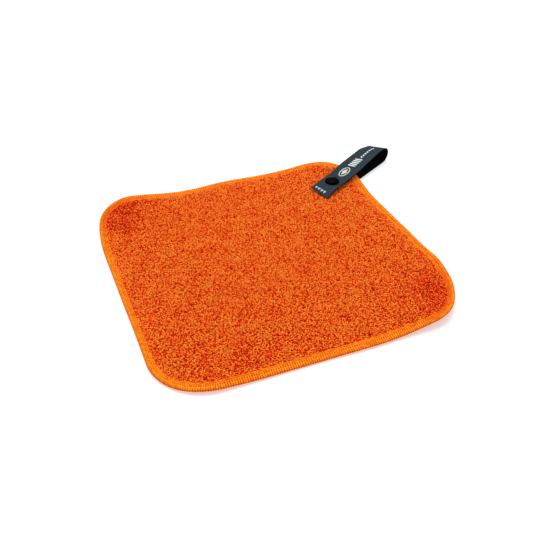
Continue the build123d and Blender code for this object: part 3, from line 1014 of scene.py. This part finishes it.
def make_tab_arrows():
    """Small triangles across the tab, pointing the way it is pulled."""
    shapes = []
    base, tip = 108.2 * MM, 105.6 * MM
    for i in range(4):
        across = (i - 1.0) * 3.4 * MM
        shapes.append([[(base, across + side * 1.3 * MM), (tip, across + side * 0.05 * MM)]
                       for side in (-1, 1)])
    return plate("strap_print_arrows", shapes, upper_length, BADGE_INK)


# ---------------------------------------------------------------- bar tacks


def make_tack(name, s_middle):
    """Dense zigzag of thread, over the layers and back under them."""
    half_l, half_w = TACK_LONG / 2, TACK_WIDE / 2
    top = Z_FACE + 0.75 * MM
    low = LEG_Z - STRAP_T / 2 - 0.12 * MM
    points, normals = [], []
    for level, up in ((top, 1), (low, -1)):
        for k in range(TACK_STROKES):
            n = -half_l + 2 * half_l * k / (TACK_STROKES - 1)
            n = n if up > 0 else -n
            sign = 1 if k % 2 else -1
            for share in (1, 0.5, -0.5, -1):
                s = s_middle + sign * half_w * share
                dip = 0.28 * MM if abs(share) == 1 else 0
                x = s * ALONG.x + (STRAP_N + n) * ACROSS.x
                y = s * ALONG.y + (STRAP_N + n) * ACROSS.y
                points.append((x, y, level - up * dip))
                normals.append((0, 0, up))
    path = np.array(points)
    upper = len(path) // 2
    path[:upper] = lay(path[:upper])
    normals = np.array(normals, float)
    points, quads = tubes(path[None], 0.26 * MM, 0.2 * MM, normals[None], THREAD_SIDES, closed=True)
    points[:, 2] = np.maximum(points[:, 2], FLOOR_GAP)
    return add_mesh(name, points, quads, box_uv(points), TACK)


# ---------------------------------------------------------------- assembly


def use_material(node, material):
    """Gives a CAD piece its material."""
    obj = frame["nodes"][node]
    obj.data.materials.clear()
    obj.data.materials.append(material)


def put(piece, body, node):
    """Ties a piece to its body and the CAD node it takes the place of."""
    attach(piece, body)
    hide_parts(node)


def dress_cloth():
    """The towel's ground, its piles and the threads of its edge."""
    ground = make_ground()
    face = make_face_pile()
    back = make_back_pile()
    upper = make_looper("edge_upper_thread", Z_FACE, 1, 0.0)
    lower = make_looper("edge_lower_thread", Z_GROUND, -1, 0.5)
    needle = make_needle_thread()
    put(ground, "towel", "ground_cloth")
    put(upper, "towel", "edge_upper_looper")
    put(lower, "towel", "edge_lower_looper")
    put(needle, "towel", "edge_needle_thread")
    for piece in face:
        put(piece, "towel", "face_pile")
    for piece in back:
        put(piece, "towel", "back_pile")


def dress_strap():
    """The bar tacks, the ribbon in four stretches, and its print."""
    for name, s_middle in zip(("bar_tack_inner", "bar_tack_outer"), TACK_S):
        put(make_tack(name + "_thread", s_middle), "towel", name)

    leg_split = length_at(EDGE_S + 20 * MM, False)
    snap_split = length_at(SNAP_S, True)
    fold_in, fold_out = length_at(LOOP_S, False), length_at(LOOP_S, True)
    stretches = (
        ("strap_ribbon_sewn", 0, leg_split, "towel", "strap_lower",
         (strap_spot(EDGE_S - 0.6 * MM, LEG_Z), strap_spot(EDGE_S + 5 * MM, LEG_Z)),
         ("strap_sewn_end",)),
        ("strap_ribbon_bend", leg_split, APEX_L, "strap_lower", "loop_bend",
         fold_zone(fold_in, APEX_L), ("strap_lower_leg", "strap_bend")),
        ("strap_ribbon_upper", APEX_L, snap_split, "loop_bend", "strap_upper",
         fold_zone(APEX_L, fold_out), ("strap_upper_leg",)),
        ("strap_ribbon_tab", snap_split, STRAP_TOTAL, "strap_upper", "tab",
         (strap_spot(TAB_S + 2 * MM, SNAP_Z), strap_spot(TAB_S - 3 * MM, SNAP_Z)), ("pull_tab",)))
    for name, start, end, first, second, zone, nodes in stretches:
        piece = make_ribbon(name, start, end)
        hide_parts(*nodes)
        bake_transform(piece)

    put(make_badge(), "strap_upper", "printed_badge")
    put(make_bars(), "strap_upper", "printed_bars")
    put(make_tab_arrows(), "tab", "printed_tab_arrows")


def dress_snap():
    """The snap's parts are the CAD's own, with their metals."""
    use_material("snap_cap", ENAMEL)
    for node in ("snap_cap_barrel", "snap_socket", "snap_stud", "snap_post"):
        use_material(node, BLACKENED)
    use_material("snap_ring_spring", SPRING)


dress_cloth()
dress_strap()
dress_snap()

# ---------------------------------------------------------------- floor and light


def make_floor():
    """White ground that glows a little, and more away from the cloth, so that it stays white to
    the horizon."""
    reach = 6.0
    mesh = bpy.data.meshes.new("floor")
    corners = [(-reach, -reach, 0), (reach, -reach, 0), (reach, reach, 0), (-reach, reach, 0)]
    mesh.from_pydata(corners, [], [(0, 1, 2, 3)])
    floor = bpy.data.objects.new("floor", mesh)
    bpy.context.scene.collection.objects.link(floor)
    material, tree, shader = new_material("floor", roughness=0.9, Specular_IOR_Level=0.0,
                                          Base_Color=(0.75, 0.75, 0.75, 1), Emission_Strength=0.50)
    where = tree.nodes.new("ShaderNodeTexCoord")
    nearness = tree.nodes.new("ShaderNodeTexGradient")      # 1 at the middle, 0 from 1 m out
    nearness.gradient_type = "SPHERICAL"
    tree.links.new(where.outputs["Object"], nearness.inputs["Vector"])
    glow = ramp(tree, nearness.outputs["Fac"], ((0.10, (1.0, 1.0, 1.0)), (0.55, (0.72, 0.72, 0.72))))
    tree.links.new(glow, shader.inputs["Emission Color"])
    mesh.materials.append(material)


KEY_AT = Vector((0.1, 0.35, 1.3))
KEY_SIZE = 1.1
KEY_POWER = 14


def make_key_light():
    """Large soft light over the far side, aimed at the middle of the cloth."""
    data = bpy.data.lights.new("key", "AREA")
    data.size = KEY_SIZE
    data.energy = KEY_POWER
    light = bpy.data.objects.new("key", data)
    bpy.context.scene.collection.objects.link(light)
    light.location = KEY_AT
    light.rotation_euler = KEY_AT.to_track_quat("Z", "Y").to_euler()


def make_world():
    """White walls round a greyer ceiling, which the key light makes up for."""
    world = bpy.data.worlds.new("studio")
    bpy.context.scene.world = world
    world.use_nodes = True
    tree = world.node_tree
    where = tree.nodes.new("ShaderNodeTexCoord")
    parts = tree.nodes.new("ShaderNodeSeparateXYZ")
    tree.links.new(where.outputs["Generated"], parts.inputs["Vector"])
    sky = ramp(tree, parts.outputs["Z"], ((0.30, (1.0, 1.0, 1.0)), (0.60, (0.62, 0.62, 0.62))))
    tree.links.new(sky, tree.nodes["Background"].inputs["Color"])


make_floor()
make_world()
make_key_light()
bpy.context.scene.view_settings.view_transform = "Standard"
